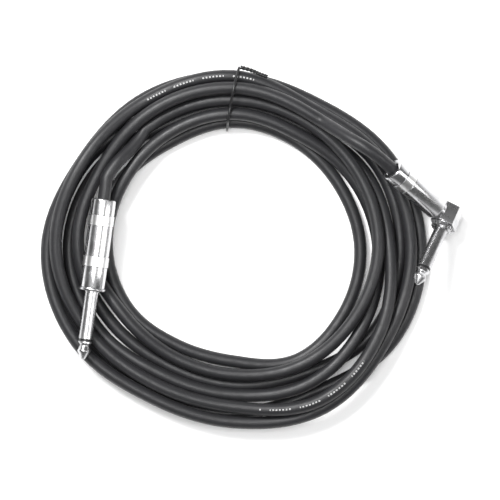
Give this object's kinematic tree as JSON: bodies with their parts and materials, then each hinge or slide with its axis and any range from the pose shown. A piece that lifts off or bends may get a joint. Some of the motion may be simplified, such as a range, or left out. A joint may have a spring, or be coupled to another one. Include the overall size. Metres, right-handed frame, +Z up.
{
  "type": "instrument cable",
  "caption": "Coiled charcoal instrument cord held by a twist tie, with a straight phone plug and a right-angle phone plug; each plug's shell unscrews and slides back.",
  "frame": {"origin": "bottom centre of the bounding box, on the surface the coil lies on", "axes": "+X along the lay's longest extent, from the straight plug's side to the angle plug's side; +Z up, the coil's shortest extent"},
  "size_m": [0.1944, 0.1668, 0.034],
  "materials": {
    "cord_jacket": "matte charcoal jacket",
    "tie_plastic": "thin black plastic over wire",
    "core_insulation": "natural plastic",
    "bare_copper": "bare stranded copper",
    "liner_sleeve": "translucent plastic sleeve",
    "ring_plastic": "black moulded insulation",
    "back_insulator": "fibre washer",
    "tinned_brass": "tinned brass",
    "shell_nickel": "satin nickel, knurled bands",
    "head_nickel": "bright nickel",
    "contact_nickel": "polished nickel"
  },
  "bodies": {
    "cable": {"cord_coil": "cord_jacket", "straight_lead": "cord_jacket", "angle_lead": "cord_jacket", "twist_tie": "tie_plastic", "tie_ends": "tie_plastic", "straight_jacket_end": "cord_jacket", "straight_core_end": "core_insulation", "straight_wire_end": "bare_copper", "straight_shield_end": "bare_copper", "straight_sleeve": "contact_nickel", "straight_ring": "ring_plastic", "straight_tip": "contact_nickel", "straight_back_insulator": "back_insulator", "straight_tip_lug": "tinned_brass", "straight_clamp": "tinned_brass", "angle_jacket_end": "cord_jacket", "angle_core_end": "core_insulation", "angle_wire_end": "bare_copper", "angle_shield_end": "bare_copper", "angle_head": "head_nickel", "angle_cap": "head_nickel", "angle_lock_ring": "head_nickel", "angle_sleeve": "contact_nickel", "angle_ring": "ring_plastic", "angle_tip": "contact_nickel", "angle_back_insulator": "back_insulator", "angle_tip_lug": "tinned_brass", "angle_clamp": "tinned_brass"},
    "straight_slider": {"straight_liner": "liner_sleeve"},
    "straight_turner": {"straight_shell": "shell_nickel"},
    "angle_slider": {"angle_liner": "liner_sleeve"},
    "angle_turner": {"angle_barrel": "shell_nickel"}
  },
  "joints": [
    {"name": "straight_shell_slide", "type": "slide", "parent": "cable", "child": "straight_slider", "axis": [0.1305, 0.9914, 0], "range_m": [0, 0.007]},
    {"name": "straight_shell_turn", "type": "hinge", "parent": "straight_slider", "child": "straight_turner", "pos_m": [-0.06788, 0.02192, 0.0165], "axis": [0.1305, 0.9914, 0], "range_deg": [0, 2520]},
    {"name": "angle_barrel_slide", "type": "slide", "parent": "cable", "child": "angle_slider", "axis": [-0.6683, 0.5707, 0.4772], "range_m": [0, 0.007]},
    {"name": "angle_barrel_turn", "type": "hinge", "parent": "angle_slider", "child": "angle_turner", "pos_m": [0.06422, 0.03562, 0.0255], "axis": [-0.6683, 0.5707, 0.4772], "range_deg": [0, 2520]}
  ],
  "couplings": [
    {"joint": "straight_shell_turn", "follows": "straight_shell_slide", "rad_per_m": 6283.2},
    {"joint": "angle_barrel_turn", "follows": "angle_barrel_slide", "rad_per_m": 6283.2}
  ]
}
